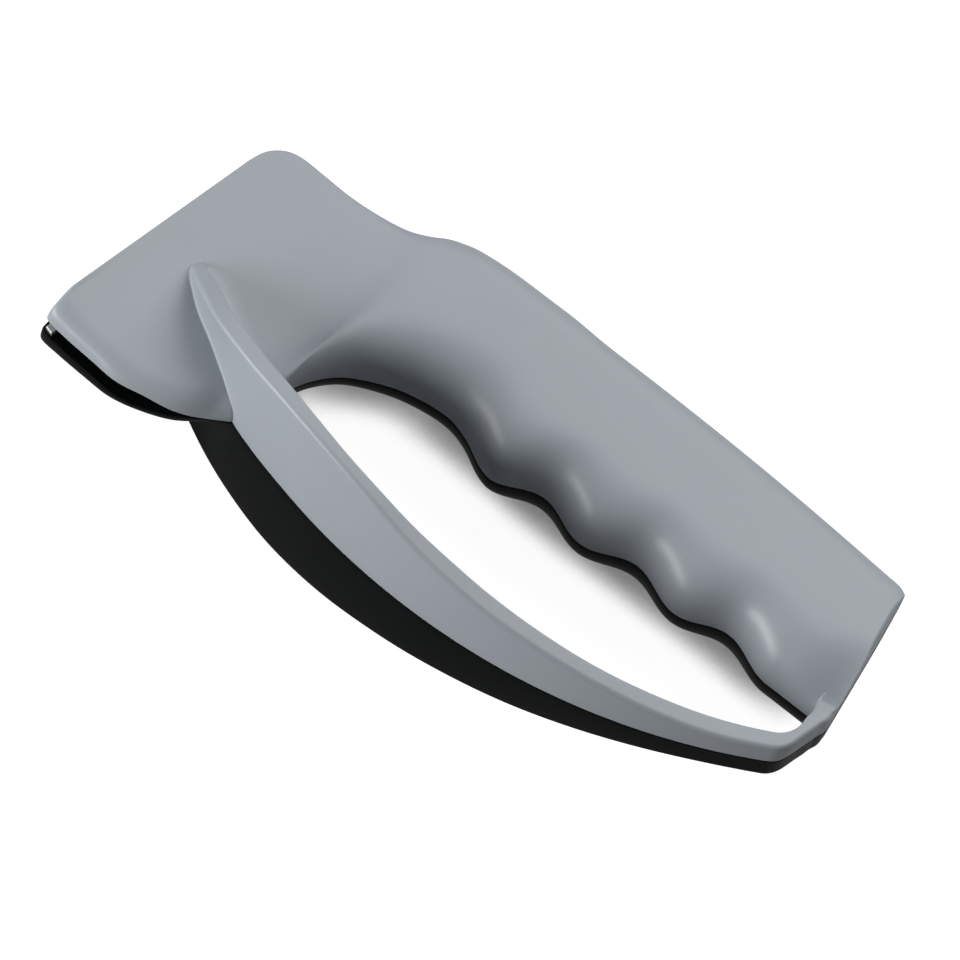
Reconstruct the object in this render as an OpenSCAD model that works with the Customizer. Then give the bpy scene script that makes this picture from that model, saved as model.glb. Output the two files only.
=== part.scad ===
// Hand-held pull-through knife sharpener.
// Two mirrored moulded half shells meet on the middle plane, z = 0 of the sketches below.
// The head carries the blade slot with two crossed hard-metal inserts, and the wide guard
// runs from the head's cheek, past the fingers, to the butt of the handle.

/* [Overall] */
// Length from the head's front end to the butt
overall_length = 145.2; // [134:0.2:158]
// Width in plan from the mouth edge to the spine
overall_width = 67; // [63:0.2:71]

/* [Head] */
// Thickness of the head at the mouth edge, both cheeks together
mouth_thickness = 8.4; // [7.8:0.1:9.4]
// Thickness of the head at its back edge
head_thickness = 9.6; // [8.6:0.2:13]
// Width over which the cheeks roll over to their edges
cheek_round = 2.4; // [1.6:0.1:3]
// Rounding of the head's front end face
end_round = 1.4; // [0.6:0.1:2]

/* [Handle] */
// Thickness of the handle, both halves together
handle_thickness = 21; // [18:0.5:24]
// Width of the handle behind the first finger
grip_width = 32.9; // [30:0.1:34]
// Width of the handle at the butt
butt_width = 28.8; // [26:0.2:30]
// Sag of the ridge line between the first ridge and the butt
grip_sag = 0.5; // [0:0.1:1]
// Crown of the long spine
spine_crown = 0.8; // [0:0.1:1.5]
// Width over which the finger side rolls over to the face
finger_round = 14; // [11:0.5:15]
// Width over which the spine side rolls over to the face
spine_round = 8; // [5:0.5:9]
// Spacing of the ridges between the fingers
finger_pitch = 19.7; // [19:0.1:20.3]
// Depth of the hollows between the ridges
finger_depth = 3.2; // [1:0.1:3.6]
// Lean of the butt from square
butt_lean = 11.4; // [6:0.2:13]
// Draft of the butt's face in each half
butt_draft = 4; // [1:0.5:6]
// Rounding of the butt's edge
butt_round = 0.8; // [0.4:0.1:1.4]
// Corner between the spine and the butt
butt_corner = 1; // [0.8:0.1:3]

/* [Guard] */
// Width of the guard at its widest, both halves together
guard_width = 37.4; // [34:0.2:42]
// Radius of the guard's outer face in plan
guard_radius = 116; // [110:1:124]
// Wall of the guard
guard_wall = 3.8; // [3.2:0.1:4.2]
// How far the guard's lowest place lies above the mouth edge
guard_rise = 3.6; // [2.4:0.1:5.4]
// Width of the guard at the butt, both halves together
guard_butt_width = 9.2; // [8:0.2:11]
// Outer corner where the guard turns up into the butt
guard_corner = 6; // [4.6:0.1:7]
// How far the fin's tip leaves the guard's arc
fin_lift = 4.2; // [3:0.1:5]
// Rounding of the guard's rim
rim_round = 0.7; // [0.4:0.1:1]

/* [Shell] */
// Wall of the half shells
wall = 2; // [1.6:0.1:2.4]
// Thickness of the ribs inside
rib = 1.4; // [1:0.1:2]
// Spacing of the cross ribs
rib_pitch = 12.6; // [11:0.2:14]
// Diameter of the pegs that join the halves
peg_d = 4; // [3:0.1:5]
// How far a peg reaches into its socket
peg_reach = 2.6; // [1.8:0.1:2.8]
// Clearance round a peg in its socket
peg_clearance = 0.08; // [0.04:0.01:0.2]
// Wall of a peg's boss
boss_wall = 1.5; // [1.2:0.1:2]

/* [Blade slot] */
// Gap between the cheeks
slot_gap = 3.6; // [3:0.1:4.2]
// Depth of the slot at the head's front end
slot_depth = 14.4; // [12.4:0.2:17]
// Length of the slot along the mouth edge
slot_length = 35; // [33:0.5:36.5]
// Length over which the gap closes at the slot's far end
slot_taper = 12; // [9:0.5:16]

/* [Inserts] */
// Thickness of an insert along the blade
insert_thickness = 1.5; // [1.2:0.1:1.8]
// Width of an insert
insert_width = 1.6; // [1.2:0.1:1.8]
// Length of an insert
insert_length = 7.6; // [6:0.1:8]
// Slant of each insert from the head's middle plane
insert_slant = 17; // [12:0.5:19]
// Edge break on an insert
insert_edge = 0.15; // [0.05:0.05:0.3]
// Clearance round an insert in its pocket
insert_clearance = 0.04; // [0.02:0.01:0.08]
// Distance of the first insert from the head's front end
insert_setback = 0.9; // [0.6:0.1:1.6]
// Height of the first insert's lower end over the mouth edge
insert_height = 1.2; // [0.8:0.1:2]
// How much deeper in the slot the second insert sits
insert_step = 1; // [0.6:0.1:1.4]

/* [Hidden] */

// Overrun of cuts past the faces that they open
overrun = 1;
// Facets of small round features
round_facets = 24;
// Stations between two rows of a table, and steps of a section's arcs and face
row_steps = 3;
arc_steps = 5;
face_steps = 3;
hollow_row_steps = 2;
hollow_arc_steps = 3;
hollow_face_steps = 2;
// Steps along the guard's arc and round its corner
guard_steps = 51;
corner_steps = 6;

quarter_turn = 90;
half_mouth = mouth_thickness / 2;
half_head = head_thickness / 2;
half_handle = handle_thickness / 2;
half_guard = guard_width / 2;
half_guard_butt = guard_butt_width / 2;
half_slot = slot_gap / 2;

// The guard's arc: its centre, and the centre of the corner that takes it to the butt
guard_low_share = 0.502;
guard_centre = [guard_low_share * overall_length, guard_rise + guard_radius];
corner_angle = asin((overall_length - guard_corner - guard_centre.x) / (guard_radius - guard_corner));
corner_centre = guard_centre + (guard_radius - guard_corner) * [sin(corner_angle), -cos(corner_angle)];
fin_tip_share = 0.062;
fin_angle = asin((fin_tip_share * overall_length - guard_centre.x) / guard_radius);

// The butt's plane leans back from where it leaves the guard's corner
butt_foot = corner_centre + guard_corner * [cos(butt_lean), sin(butt_lean)];
function butt_x(y) = butt_foot.x - (y - butt_foot.y) * tan(butt_lean);

// Head and neck, row by row from the front end: back edge x, y, front edge x, y as shares of
// the overall length and width, how far back and front have grown in height from head to
// handle, and how far the front edge's roll has widened
head_shares = [
    [0.037, 0.697, 0, 0.082, 0, 0.27, 0],
    [0.045, 0.783, 0.001, 0.044, 0, 0.27, 0],
    [0.06, 0.826, 0.005, 0.014, 0, 0.24, 0],
    [0.081, 0.845, 0.033, 0.006, 0, 0.18, 0],
    [0.116, 0.847, 0.076, 0.003, 0, 0.14, 0],
    [0.151, 0.847, 0.113, 0.001, 0.02, 0.05, 0.01],
    [0.18, 0.852, 0.15, 0.022, 0.06, 0.02, 0.04],
    [0.203, 0.859, 0.186, 0.055, 0.13, 0.03, 0.14],
    [0.221, 0.866, 0.217, 0.103, 0.22, 0.08, 0.32],
    [0.236, 0.875, 0.241, 0.149, 0.32, 0.2, 0.52],
    [0.25, 0.889, 0.257, 0.218, 0.43, 0.36, 0.68],
    [0.263, 0.906, 0.261, 0.304, 0.53, 0.5, 0.79],
    [0.277, 0.928, 0.27, 0.369, 0.63, 0.63, 0.87],
    [0.294, 0.946, 0.289, 0.435, 0.74, 0.75, 0.93],
    [0.317, 0.963, 0.315, 0.483, 0.86, 0.86, 0.97],
    [0.36, 0.978, 0.358, 0.532, 0.96, 0.95, 1],
    [0.411, 0.985, 0.411, 0.558, 1, 1, 1],
    [0.451, 0.989, 0.449, 0.544, 1, 1, 1]
];
// Where the first ridge stands, and places along the straight grip
first_ridge_share = 0.498;
grip_shares = [0, 0.12, 0.24, 0.36, 0.48, 0.60, 0.72, 0.84, 0.94, 0.985, 1];

// The grip's rows follow from the handle's sizes: spine, ridge line and butt
first_ridge = first_ridge_share * overall_length;
spine_y = overall_width - spine_crown;
function grip_row(v) =
    let (y_back = v < 1 ? spine_y + spine_crown * sin(180 * v) : spine_y - butt_corner,
         y_front = overall_width - grip_width - spine_crown + (grip_width - butt_width) * v
                   + grip_sag * sin(180 * v),
         last = butt_x(y_back) - (v < 1 ? butt_corner * (1 - cos(90 * v)) : 0))
    [first_ridge + (last - first_ridge) * v, y_back,
     first_ridge + (butt_x(y_front) - first_ridge) * v, y_front, 1, 1, 1];
body_rows = concat(
    [for (r = head_shares) [r[0] * overall_length, r[1] * overall_width,
                            r[2] * overall_length, r[3] * overall_width, r[4], r[5], r[6]]],
    [for (v = grip_shares) grip_row(v)]);
last_row = len(body_rows) - 1;

function mix(a, b, t) = a + (b - a) * t;
function unit(v) = v / norm(v);

// Smooth curve through the rows of a table, at u rows from its start
function row_at(rows, u) =
    let (n = len(rows) - 1, i = min(floor(u), n - 1), f = u - i,
         a = rows[max(i - 1, 0)], b = rows[i], c = rows[i + 1], d = rows[min(i + 2, n)])
    (2 * b + (c - a) * f + (2 * a - 5 * b + 4 * c - d) * f * f + (3 * b - 3 * c + d - a) * f * f * f) / 2;

// Depth of the finger hollows at a place along the handle
finger_hollows = 3;
function hollow(x) =
    x < first_ridge || x > first_ridge + finger_hollows * finger_pitch ? 0
    : finger_depth * (1 - cos(360 * (x - first_ridge) / finger_pitch)) / 2;

// Height lost to the rounding of an end face, at a distance from it
function end_drop(d, r) = d < r ? r - sqrt(r * r - (r - d) * (r - d)) : 0;
function row_middle(r) = [(r[0] + r[2]) / 2, (r[1] + r[3]) / 2];

// The sections' edges go from a squarish roll at the head, at this power, to an ellipse at 1
edge_power = 0.5;

// Direction into the body, square to the front (from = 2) or back (from = 0) edge in plan
edge_step = 0.1;
function inward(u, from) =
    let (a = row_at(body_rows, max(u - edge_step, 0)), b = row_at(body_rows, min(u + edge_step, last_row)),
         t = unit([b[from] - a[from], b[from + 1] - a[from + 1]]))
    from > 0 ? [-t.y, t.x] : [t.y, -t.x];

// One section of a half body: a ring from the front edge, over the face, to the back edge.
// inset shrinks it to the hollow inside, which stands on a skirt that reaches base below.
function section(u, inset, base) =
    let (r = row_at(body_rows, u),
         back = [r[0], r[1]], ridge = [r[2], r[3]],
         across = unit(back - ridge),
         front = ridge + across * hollow(ridge.x),
         h_back = mix(half_head, half_handle, r[4]) - inset,
         h_front = mix(half_mouth, half_handle, r[5]) - inset,
         w_back = mix(cheek_round, spine_round, r[4]),
         w_front = mix(cheek_round, finger_round, r[6]),
         to_butt = norm(row_middle(r) - row_middle(body_rows[last_row])),
         lean = tan(butt_draft) * max(0, 1 - to_butt / handle_thickness),
         drop = inset > 0 ? 0
              : max(end_drop(norm(row_middle(r) - row_middle(body_rows[0])), end_round),
                    end_drop(to_butt, butt_round)),
         arcs = inset > 0 ? hollow_arc_steps : arc_steps,
         faces = inset > 0 ? hollow_face_steps : face_steps,
         f0 = inset > 0 ? hollow_front(front + inward(u, 2) * inset, across, inset) : front,
         f1 = f0 + across * max(w_front - hollow(ridge.x) - inset, 0),
         b0 = back + inward(u, 0) * inset,
         b1 = b0 - across * max(w_back - inset, 0),
         e_back = mix(edge_power, 1, r[4]),
         e_front = mix(edge_power, 1, r[6]),
         front_arc = [for (i = [0:arcs]) let (a = 90 * i / arcs)
             concat(mix(f0, f1, 1 - pow(cos(a), e_front)),
                    min(h_front * pow(sin(a), e_front), h_front - drop))],
         face = [for (i = [1:faces - 1]) let (t = i / faces)
             concat(mix(f1, b1, t), mix(h_front, h_back, t) - drop)],
         back_arc = [for (i = [arcs:-1:0]) let (a = 90 * i / arcs)
             concat(mix(b0, b1, 1 - pow(cos(a), e_back)), min(h_back * pow(sin(a), e_back), h_back - drop))])
    [for (p = base > 0 ? concat([concat(f0, -base)], front_arc, face, back_arc, [concat(b0, -base)])
                       : concat(front_arc, face, back_arc)) [p.x - max(p.z, 0) * lean, p.y, p.z]];

// The slot's floor falls from the head's front end to where the mouth closes
mouth_end_share = 0.09;
mouth_end_y = mouth_end_share * overall_width;
function slot_floor(x) = slot_depth + (mouth_end_y - slot_depth) * x / slot_length;
function hollow_front(p, across, inset) =
    let (lift = slot_floor(p.x) + inset - p.y)
    p.x < slot_length + inset && lift > 0 ? p + across * lift : p;

// Solid through a list of rings with the same number of points
module loft(rings) {
    n = len(rings[0]);
    m = len(rings);
    polyhedron(
        points = [for (ring = rings) each ring],
        faces = concat(
            [[for (j = [n - 1:-1:0]) j]],
            [for (i = [0:m - 2], j = [0:n - 1], k = [0:1])
                let (a = i * n + j, b = i * n + (j + 1) % n)
                k == 0 ? [a, b, a + n] : [b, b + n, a + n]],
            [[for (j = [0:n - 1]) (m - 1) * n + j]]));
}

module half_body() {
    loft([for (i = [0:last_row * row_steps]) section(i / row_steps, 0, 0)]);
}

// The hollow stops short of both ends, between two rows of the table
hollow_first_row = 3;
hollow_last_row = last_row - 2;
module half_hollow() {
    loft([for (i = [hollow_first_row * hollow_row_steps:hollow_last_row * hollow_row_steps])
        section(i / hollow_row_steps, wall, overrun)]);
}

// Rows along the guard's arc, from the fin's tip to the butt: share of the arc, share of the
// width, lift off the arc at the middle plane and at the rim as shares of the fin's lift, then
// the rim's crown and the wall as shares of the guard's wall
guard_shares = [
    [0, 0.24, 1, 1, 0, 0.55],
    [0.024, 0.41, 0.79, 0.58, 0, 0.72],
    [0.065, 0.61, 0.56, 0.27, 0, 0.88],
    [0.114, 0.77, 0.5, 0.02, 0, 0.9],
    [0.161, 0.86, 0.22, 0, 0.06, 0.92],
    [0.205, 0.925, -0.03, 0, 0.14, 0.96],
    [0.25, 0.975, -0.04, 0, 0.24, 1.03],
    [0.306, 1, 0, 0, 0.3, 1.03],
    [0.36, 0.98, 0, 0, 0.35, 1.03],
    [0.42, 0.92, 0, 0, 0.36, 1.08],
    [0.48, 0.82, 0, 0, 0.3, 1.13],
    [0.54, 0.73, 0, 0, 0.25, 1.18],
    [0.60, 0.64, 0, 0, 0.21, 1.16],
    [0.68, 0.54, 0, 0, 0.19, 1.09],
    [0.76, 0.436, 0, 0, 0.17, 1.03],
    [0.84, 0.335, 0, 0, 0.11, 1.03],
    [0.92, 0.26, 0, 0, 0.04, 0.98],
    [1, 0.24, 0, 0, 0, 0.88]
];

// One section of the guard at a place and heading: outer face, rim and inner face. The outer
// face bows by the crown towards its rim, and both faces turn from the foot's lift to the rim's.
function guard_ring(foot, inward, half, thick, crown, foot_lift, rim_lift) =
    let (r = rim_round, k = r * (1 - cos(45)),
         turn = function (z) let (q = pow(z / half, 2)) foot_lift + (rim_lift - foot_lift) * q,
         bow = function (z) crown * pow(z / half, 2),
         outer = [for (z = [0, half / 2, half - r]) [turn(z) + bow(z), z]],
         inner = [for (z = [half - r, half / 2, 0]) [turn(z) + thick, z]],
         rim = [[rim_lift + crown + k, half - k], [rim_lift + crown + r, half],
                [rim_lift + thick - r, half], [rim_lift + thick - k, half - k]])
    [for (p = concat(outer, rim, inner)) concat(foot + inward * p.x, p.y)];

function guard_arc_ring(i) =
    let (row = row_at(guard_shares, (len(guard_shares) - 1) * i / guard_steps),
         angle = mix(fin_angle, corner_angle, row[0]),
         out = [sin(angle), -cos(angle)])
    guard_ring(guard_centre + guard_radius * out, -out, max(row[1] * half_guard, half_guard_butt),
               row[5] * guard_wall, row[4] * guard_wall, row[2] * fin_lift, row[3] * fin_lift);
function guard_end_ring(foot, out) =
    guard_ring(foot, -out, half_guard_butt, guard_shares[len(guard_shares) - 1][5] * guard_wall, 0, 0, 0);
function guard_corner_ring(i) =
    let (angle = mix(corner_angle, quarter_turn + butt_lean, i / corner_steps),
         out = [sin(angle), -cos(angle)])
    guard_end_ring(corner_centre + guard_corner * out, out);
// The strip at the butt runs up past the handle's front edge and is seated in the handle,
// a hair inside the butt's face
strip_inset = 0.05;
strip_seat = 5;
strip_length = (grip_row(1)[3] - butt_foot.y) / cos(butt_lean) + strip_seat;
strip_shares = [0.1, 1];
function guard_strip_ring(t) =
    let (out = [cos(butt_lean), sin(butt_lean)], up = [-sin(butt_lean), cos(butt_lean)])
    guard_end_ring(butt_foot + strip_length * t * up - strip_inset * out, out);

module half_guard_wall() {
    loft(concat([for (i = [0:guard_steps]) guard_arc_ring(i)],
                [for (i = [1:corner_steps]) guard_corner_ring(i)],
                [for (t = strip_shares) guard_strip_ring(t)]));
}

// Ribs inside: cross ribs along the whole hollow and one long rib down the handle
rib_first_share = 0.11;
rib_last_share = 0.965;
long_rib_share = 0.76;
cross_ribs = floor((rib_last_share - rib_first_share) * overall_length / rib_pitch);
module rib_bar(from, to) {
    hull() {
        translate(concat(from, -overrun)) cylinder(d = rib, h = half_handle + overrun, $fn = 6);
        translate(concat(to, -overrun)) cylinder(d = rib, h = half_handle + overrun, $fn = 6);
    }
}
module ribs() {
    for (i = [0:cross_ribs]) {
        x = rib_first_share * overall_length + i * rib_pitch;
        rib_bar([x, 0], [x, overall_width]);
    }
    rib_bar([0, long_rib_share * overall_width], [overall_length, long_rib_share * overall_width]);
}

// Places of the pegs, as shares of the overall length and width
peg_shares = [[0.12, 0.56], [0.326, 0.86], [0.60, 0.64], [0.92, 0.80]];
module at_pegs() {
    for (p = peg_shares) translate([p.x * overall_length, p.y * overall_width, 0]) children();
}
module bosses() {
    at_pegs() translate([0, 0, -overrun])
        cylinder(d = peg_d + 2 * boss_wall, h = half_handle + overrun, $fn = round_facets);
}
// A peg starts inside its boss, and the socket is deeper than the peg is long
peg_seat = 0.6;
socket_depth_spare = 0.3;
module pegs() {
    at_pegs() translate([0, 0, -peg_reach])
        cylinder(d = peg_d, h = peg_reach + peg_seat, $fn = round_facets);
}
module sockets() {
    at_pegs() translate([0, 0, -overrun])
        cylinder(d = peg_d + 2 * peg_clearance,
                 h = peg_reach + socket_depth_spare + overrun, $fn = round_facets);
}

// The slot's own frame: x along its floor, y into the head
slot_lean = atan((mouth_end_y - slot_depth) / slot_length);
module slot_plan() {
    polygon([[-overrun, -overrun], [-overrun, slot_floor(-overrun)],
             [slot_length, slot_floor(slot_length)], [slot_length, -overrun]]);
}
// The gap in side view: full height, then a half cosine down to nothing
taper_steps = 8;
module slot_side() {
    polygon(concat([[-overrun, -overrun], [-overrun, half_slot]],
                   [for (i = [0:taper_steps])
                       [slot_length - slot_taper * (1 - i / taper_steps),
                        half_slot * (1 + cos(180 * i / taper_steps)) / 2]],
                   [[slot_length, -overrun]]));
}
module blade_slot() {
    intersection() {
        translate([0, 0, -overrun]) linear_extrude(overrun + half_slot) slot_plan();
        translate([0, overall_width, 0]) rotate([quarter_turn, 0, 0])
            linear_extrude(overall_width + overrun) slot_side();
    }
}

// Places an insert: side is +1 for the front one, which leans up to the grey half
module at_insert(index) {
    pitch = insert_thickness + insert_clearance;
    translate([insert_setback, insert_height, 0]) rotate([0, 0, slot_lean])
        translate([(index + 1 / 2) * pitch, insert_length / 2 + index * insert_step, 0])
            rotate([index == 0 ? insert_slant : -insert_slant, 0, 0]) children();
}
module insert_shape(grow) {
    edge = insert_edge;
    w = insert_width / 2 + grow;
    l = insert_length / 2 + grow;
    t = insert_thickness + 2 * grow;
    rotate([90, 0, 90]) translate([0, 0, -t / 2]) linear_extrude(t)
        polygon([[-l, edge - w], [edge - l, -w], [l - edge, -w], [l, edge - w],
                 [l, w - edge], [l - edge, w], [edge - l, w], [-l, w - edge]]);
}
// A pocket is the room that an insert sweeps when it is laid into its half
module insert_pocket(index) {
    hull() {
        at_insert(index) insert_shape(insert_clearance);
        translate([0, 0, -handle_thickness]) at_insert(index) insert_shape(insert_clearance);
    }
}

// One moulded half, face up, in the sketch frame
module half_shell() {
    difference() {
        union() {
            half_body();
            half_guard_wall();
        }
        difference() {
            half_hollow();
            ribs();
            bosses();
        }
        blade_slot();
    }
}

// The sketch frame's corner goes to the object's lower front corner
module in_place() {
    translate([-overall_length / 2, -overall_width / 2, half_guard]) children();
}

module grey_half_shell() {
    color("#9ca3aa") in_place() difference() {
        union() {
            half_shell();
            pegs();
        }
        for (i = [0, 1]) insert_pocket(i);
    }
}

module black_half_shell() {
    color("#17191a") in_place() mirror([0, 0, 1]) difference() {
        half_shell();
        sockets();
        for (i = [0, 1]) mirror([0, 0, 1]) translate([0, 0, handle_thickness]) insert_pocket(i);
    }
}

module carbide_insert(index) {
    color("#8d9196") in_place() at_insert(index) insert_shape(0);
}
module front_carbide_insert() { carbide_insert(0); }
module rear_carbide_insert() { carbide_insert(1); }

grey_half_shell();
black_half_shell();
front_carbide_insert();
rear_carbide_insert();
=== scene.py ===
import math

import bmesh
import bpy
import numpy as np
from mathutils import Matrix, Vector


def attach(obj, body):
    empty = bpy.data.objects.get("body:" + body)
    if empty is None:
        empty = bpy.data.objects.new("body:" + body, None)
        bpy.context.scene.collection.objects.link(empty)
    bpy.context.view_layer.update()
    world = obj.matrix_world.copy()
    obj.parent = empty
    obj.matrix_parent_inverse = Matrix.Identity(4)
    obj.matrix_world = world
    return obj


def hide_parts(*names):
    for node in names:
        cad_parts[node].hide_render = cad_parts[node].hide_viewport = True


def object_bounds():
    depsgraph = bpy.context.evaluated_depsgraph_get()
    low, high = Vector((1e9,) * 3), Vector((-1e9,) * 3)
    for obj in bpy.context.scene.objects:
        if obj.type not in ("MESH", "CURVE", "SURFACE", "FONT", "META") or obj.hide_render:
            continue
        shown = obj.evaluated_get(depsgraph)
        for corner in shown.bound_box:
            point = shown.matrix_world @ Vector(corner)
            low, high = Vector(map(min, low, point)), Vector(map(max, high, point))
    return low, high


# Hand-held pull-through knife sharpener: grey and black moulded half shells with a finger guard.
# Shapes are worked out in millimetres in a sketch of one half: x from the head's front end to
# the butt, y from the mouth edge to the spine, z up from the parting plane.

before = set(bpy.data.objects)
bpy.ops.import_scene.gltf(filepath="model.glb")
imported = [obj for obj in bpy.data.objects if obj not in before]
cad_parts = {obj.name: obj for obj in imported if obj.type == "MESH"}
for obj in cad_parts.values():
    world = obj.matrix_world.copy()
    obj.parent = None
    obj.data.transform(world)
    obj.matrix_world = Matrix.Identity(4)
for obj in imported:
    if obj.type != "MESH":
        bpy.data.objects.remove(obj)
cadLow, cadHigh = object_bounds()
mm = 0.001

overall = {
    "length": 2 * cadHigh.x / mm,
    "width": 2 * cadHigh.y / mm,
    "halfGuard": cadHigh.z / mm / 2,
}

# Edge where the two halves meet: a fine groove
seam = {"groove": 0.16, "levels": [0, 0.03, 0.08, 0.16]}


def mix(a, b, t):
    # share t of the way from a to b
    return a + (b - a) * t


def unit(v):
    # each vector divided by its length
    return v / np.linalg.norm(v, axis=-1, keepdims=True)


def easeStep(t):
    # 0 below 0, 1 above 1, and 3t^2 - 2t^3 in between
    t = np.clip(t, 0, 1)
    return t * t * (3 - 2 * t)


def softMax(a, b, k):
    # the larger of a and b, with a fillet of size k where they are alike
    h = np.clip(0.5 + 0.5 * (a - b) / k, 0, 1)
    return b + (a - b) * h + k * h * (1 - h)


def seamInset(z):
    # how far a wall stands back at height z over the parting plane: a quarter round
    g = seam["groove"]
    return g - np.sqrt(g * g - np.clip(g - z, 0, g) ** 2)


def alongRows(rows, u):
    # Catmull-Rom curve through the rows of a table, at u rows from its start
    rows = np.asarray(rows, float)
    last = len(rows) - 1
    i = np.clip(np.floor(u).astype(int), 0, last - 1)
    f = (u - i)[:, None]
    a, b, c, d = rows[np.maximum(i - 1, 0)], rows[i], rows[i + 1], rows[np.minimum(i + 2, last)]
    bend = 2 * a - 5 * b + 4 * c - d
    return (2 * b + (c - a) * f + bend * f**2 + (3 * b - 3 * c + d - a) * f**3) / 2


bellSamples = 9


def alongRowsSmoothly(rows, u, spread):
    # the same curve, averaged with a bell over spread rows each way, less towards its ends
    last = len(rows) - 1
    room = np.minimum(spread, np.minimum(u, last - u))
    places = np.linspace(-1, 1, bellSamples)
    bells = np.cos(places * np.pi / 2) ** 2
    return sum(w * alongRows(rows, u + p * room) for p, w in zip(places, bells)) / bells.sum()


# Head and neck, row by row from the front end: back edge x, y, front edge x, y as shares of
# the overall length and width, how far back and front have grown in height from head to
# handle, and how far the front edge's roll has widened
body = {
    "halfMouth": 4.2,  # half thickness at the mouth edge, at the head's back edge and of the handle
    "halfHead": 4.8,
    "halfHandle": 10.5,
    "headRound": 2.4,
    "fingerRound": 14,
    "spineRound": 8,
    "endRound": 1.4,
    "buttRound": 0.8,
    "headEdge": [4, 4],  # powers of the roll along the back edge, as in rollHeight
    "spineEdge": [2.2, 2],
    "headShares": [
        [0.037, 0.697, 0, 0.082, 0, 0.27, 0],
        [0.045, 0.783, 0.001, 0.044, 0, 0.27, 0],
        [0.06, 0.826, 0.005, 0.014, 0, 0.24, 0],
        [0.081, 0.845, 0.033, 0.006, 0, 0.18, 0],
        [0.116, 0.847, 0.076, 0.003, 0, 0.14, 0],
        [0.151, 0.847, 0.113, 0.001, 0.02, 0.05, 0.01],
        [0.18, 0.852, 0.15, 0.022, 0.06, 0.02, 0.1],
        [0.203, 0.859, 0.186, 0.055, 0.13, 0.03, 0.4],
        [0.221, 0.866, 0.217, 0.103, 0.22, 0.08, 1.0],
        [0.236, 0.875, 0.241, 0.149, 0.32, 0.2, 1.3],
        [0.25, 0.889, 0.257, 0.218, 0.43, 0.36, 1.35],
        [0.263, 0.906, 0.261, 0.304, 0.53, 0.5, 1.32],
        [0.277, 0.928, 0.27, 0.369, 0.63, 0.63, 1.27],
        [0.294, 0.946, 0.289, 0.435, 0.74, 0.75, 1.22],
        [0.317, 0.963, 0.315, 0.483, 0.86, 0.86, 1.14],
        [0.36, 0.978, 0.358, 0.532, 0.96, 0.95, 1.04],
        [0.411, 0.985, 0.411, 0.558, 1, 1, 1],
        [0.451, 0.989, 0.449, 0.544, 1, 1, 1],
    ],
    "gripShares": [0, 0.12, 0.24, 0.36, 0.48, 0.60, 0.72, 0.84, 0.94, 0.985, 1],
    "firstRidgeShare": 0.498,
    "gripWidth": 32.9,
    "buttWidth": 28.8,
    "gripSag": 0.5,
    "spineCrown": 0.8,
    "buttCorner": 0.6,
    "buttLean": math.radians(11.4),
    "buttOut": 0.55,
    "buttFade": 11,  # length over which the lower edge's roll turns into the one at the butt
    "buttDraft": math.radians(0.5),
    "fingerHollows": 3,
    "fingerPitch": 19.7,
    "fingerDepth": 3.2,
    "smoothing": 0.35,
    "headSmoothing": 0.05,
    "smoothFrom": [2, 4.5],  # rows over which the smoothing grows from the head's to the body's
    "buttSharp": 2.5,  # rows over which it fades again before the butt
    "stationsPerRow": 16,
    "searchPerRow": 24,
    "rollColumns": 20,
    "faceColumns": 34,
}
lastRow = len(body["headShares"]) + len(body["gripShares"]) - 1

# Guard: rows along its arc from the fin's tip to the butt, as shares: place, width, lift at the
# middle plane and at the rim, crown of the outer face, wall
guard = {
    "radius": 116,
    "rise": 3.6,
    "wall": 3.8,
    "halfButt": 4.6,
    "corner": 9,
    "lowShare": 0.502,
    "tipShare": 0.062,
    "finLift": 4.2,
    "stripSeat": 5,  # how far the strip runs on into the handle
    "stripInset": 0.05,
    "stripFlare": 2.6,
    "buttInset": 0.75,
    "cornerCut": 1.2,
    "cutAngle": math.radians(80),
    "cutSpread": 7,
    "rimInnerRound": 0.4,
    "toeOuter": 0.5,
    "toeInner": 5.0,
    "toeStrip": 0.5,
    "toeSpread": 1.5,
    "toePower": 2 / 3,
    "toeShare": 0.55,  # most of the free wall that a toe may take, and below it the rim's rounding
    "roundShare": 0.4,
    "leastToe": 0.1,
    "blend": 1.0,
    "tipRun": 2.4,
    "tipSink": 0.55,
    "cornerReach": 2.2,  # where the body's edge meets the guard's outer face
    "cornerRise": 0.3,
    "shares": [
        [0, 0.24, 1, 1, 0, 0.55],
        [0.024, 0.41, 0.79, 0.58, 0, 0.72],
        [0.065, 0.61, 0.56, 0.27, 0, 0.88],
        [0.114, 0.77, 0.5, 0.02, 0, 0.9],
        [0.161, 0.86, 0.22, 0, 0.06, 0.92],
        [0.205, 0.925, -0.03, 0, 0.14, 0.96],
        [0.25, 0.975, -0.04, 0, 0.24, 1.03],
        [0.306, 1, 0, 0, 0.3, 1.03],
        [0.36, 0.98, 0, 0, 0.35, 1.03],
        [0.42, 0.92, 0, 0, 0.36, 1.08],
        [0.48, 0.82, 0, 0, 0.3, 1.13],
        [0.54, 0.73, 0, 0, 0.25, 1.18],
        [0.60, 0.64, 0, 0, 0.21, 1.16],
        [0.68, 0.54, 0, 0, 0.19, 1.09],
        [0.76, 0.436, 0, 0, 0.17, 1.03],
        [0.84, 0.335, 0, 0, 0.11, 1.03],
        [0.92, 0.26, 0, 0, 0.04, 0.98],
        [1, 0.24, 0, 0, 0, 0.88],
    ],
    "smoothing": 0.5,
    "arcStations": 300,
    "cornerStations": 26,
    "stripStations": 44,
    "toeColumns": 13,
    "wallColumns": 10,
    "roundColumns": 9,
    "rimColumns": 5,
}

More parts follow.
